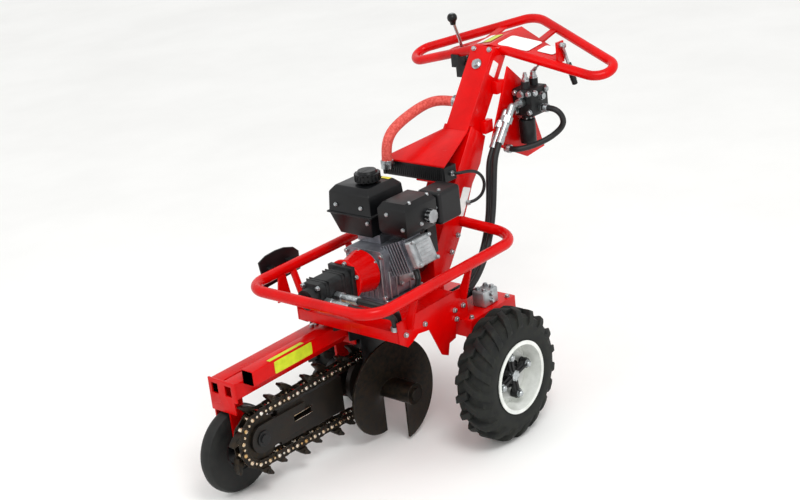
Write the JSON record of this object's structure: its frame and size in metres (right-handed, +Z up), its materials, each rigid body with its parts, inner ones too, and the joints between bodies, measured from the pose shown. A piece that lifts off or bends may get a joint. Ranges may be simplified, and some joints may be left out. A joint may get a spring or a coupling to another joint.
{
  "type": "walk-behind chain trencher",
  "caption": "Walk-behind hydraulic trencher with drive wheels, a digging chain on a lifting boom, an auger, an engine, a guard hoop and a loop handlebar.",
  "frame": {"origin": "on the ground, under the middle of the machine's bounding box", "axes": "+X forward to the nose wheel, +Y to the machine's left, +Z up"},
  "size_m": [1.5087, 0.7956, 1.182],
  "materials": {
    "red_enamel": "gloss",
    "tyre_rubber": "matte",
    "solid_rubber": "matte",
    "hose_rubber": "satin",
    "red_sleeve": "matte",
    "white_wheel": "gloss",
    "black_steel": "satin",
    "bright_steel": "zinc plated",
    "grey_aluminium": "cast",
    "black_plastic": "moulded",
    "lift_grey": "satin"
  },
  "bodies": {
    "frame": {"air_cleaner": "black_plastic", "auger_shield": "black_steel", "bell_housing": "red_enamel", "blower_housing": "black_steel", "chain_motor": "black_steel", "chassis_brackets": "red_enamel", "console_plate": "red_enamel", "control_valve": "black_steel", "cooler_hose": "red_sleeve", "debris_shield": "black_steel", "deck_plate": "red_enamel", "engine_block": "grey_aluminium", "front_rails": "red_enamel", "fuel_tank": "black_plastic", "guard_hoop": "red_enamel", "handlebar": "red_enamel", "hose_fittings": "bright_steel", "hydraulic_pump": "black_steel", "hydraulic_tank": "red_enamel", "lift_cylinder": "lift_grey", "lift_valve": "bright_steel", "manifold_block": "grey_aluminium", "muffler": "black_steel", "nose_fork": "red_enamel", "oil_cooler": "black_steel", "oil_filter": "black_steel", "pressure_hose_1": "hose_rubber", "pressure_hose_2": "hose_rubber", "pump_hose_1": "hose_rubber", "pump_hose_2": "hose_rubber", "rear_box": "red_enamel", "rocker_cover": "grey_aluminium", "side_plates": "red_enamel", "steering_column": "red_enamel", "tank_hood": "red_enamel", "valve_bracket": "red_enamel", "valve_loop_hose": "hose_rubber", "wheel_motors": "black_steel"},
    "wheel_left": {"tyre_left": "tyre_rubber", "rim_left": "white_wheel", "hub_left": "black_steel"},
    "wheel_right": {"tyre_right": "tyre_rubber", "rim_right": "white_wheel", "hub_right": "black_steel"},
    "nose_wheel": {"nose_tyre": "solid_rubber", "nose_rim": "black_steel"},
    "boom": {"boom_arm": "red_enamel", "boom_bar": "black_steel", "chain_links": "black_steel", "chain_rollers": "bright_steel", "chain_cutters": "black_steel", "idler_bolt": "bright_steel"},
    "head_shaft": {"head_shaft": "bright_steel", "auger": "black_steel"},
    "nose_idler": {"nose_idler": "black_steel"},
    "lift_rod": {"lift_rod": "bright_steel"},
    "fuel_cap": {"fuel_cap": "black_plastic"},
    "recoil_grip": {"recoil_grip": "black_plastic"},
    "lift_lever": {"lift_lever": "bright_steel"},
    "traction_lever": {"traction_lever": "black_steel"}
  },
  "joints": [
    {"name": "left_wheel_spin", "type": "hinge", "parent": "frame", "child": "wheel_left", "pos_m": [-0.0415, 0.302, 0.203], "axis": [0, 1, 0], "continuous": true},
    {"name": "right_wheel_spin", "type": "hinge", "parent": "frame", "child": "wheel_right", "pos_m": [-0.0415, -0.302, 0.203], "axis": [0, 1, 0], "continuous": true},
    {"name": "nose_wheel_spin", "type": "hinge", "parent": "frame", "child": "nose_wheel", "pos_m": [0.6205, -0.2, 0.134], "axis": [0, 1, 0], "continuous": true},
    {"name": "boom_lift", "type": "hinge", "parent": "frame", "child": "boom", "pos_m": [0.1485, -0.155, 0.17], "axis": [0, 1, 0], "range_deg": [0, 55]},
    {"name": "head_shaft_spin", "type": "hinge", "parent": "frame", "child": "head_shaft", "pos_m": [0.1485, 0, 0.17], "axis": [0, 1, 0], "continuous": true},
    {"name": "nose_idler_spin", "type": "hinge", "parent": "boom", "child": "nose_idler", "pos_m": [0.6065, -0.11, 0.186], "axis": [0, 1, 0], "continuous": true},
    {"name": "lift_rod_slide", "type": "slide", "parent": "frame", "child": "lift_rod", "axis": [1, 0, 0], "range_m": [0, 0.06247]},
    {"name": "fuel_cap_turn", "type": "hinge", "parent": "frame", "child": "fuel_cap", "pos_m": [0.0675, -0.07, 0.8063], "axis": [0, 0, 1], "range_deg": [0, 90]},
    {"name": "recoil_pull", "type": "slide", "parent": "frame", "child": "recoil_grip", "axis": [0, -1, 0], "range_m": [0, 0.25]},
    {"name": "lift_lever_tilt", "type": "hinge", "parent": "frame", "child": "lift_lever", "pos_m": [-0.5415, -0.15, 1.03], "axis": [0, 1, 0], "range_deg": [-6, 6]},
    {"name": "traction_lever_tilt", "type": "hinge", "parent": "frame", "child": "traction_lever", "pos_m": [-0.5445, 0.235, 1.088], "axis": [0, 1, 0], "range_deg": [-15, 15]}
  ],
  "couplings": [
    {"joint": "nose_idler_spin", "follows": "head_shaft_spin", "ratio": 1.1154},
    {"joint": "lift_rod_slide", "follows": "boom_lift", "m_per_rad": 0.065076}
  ]
}
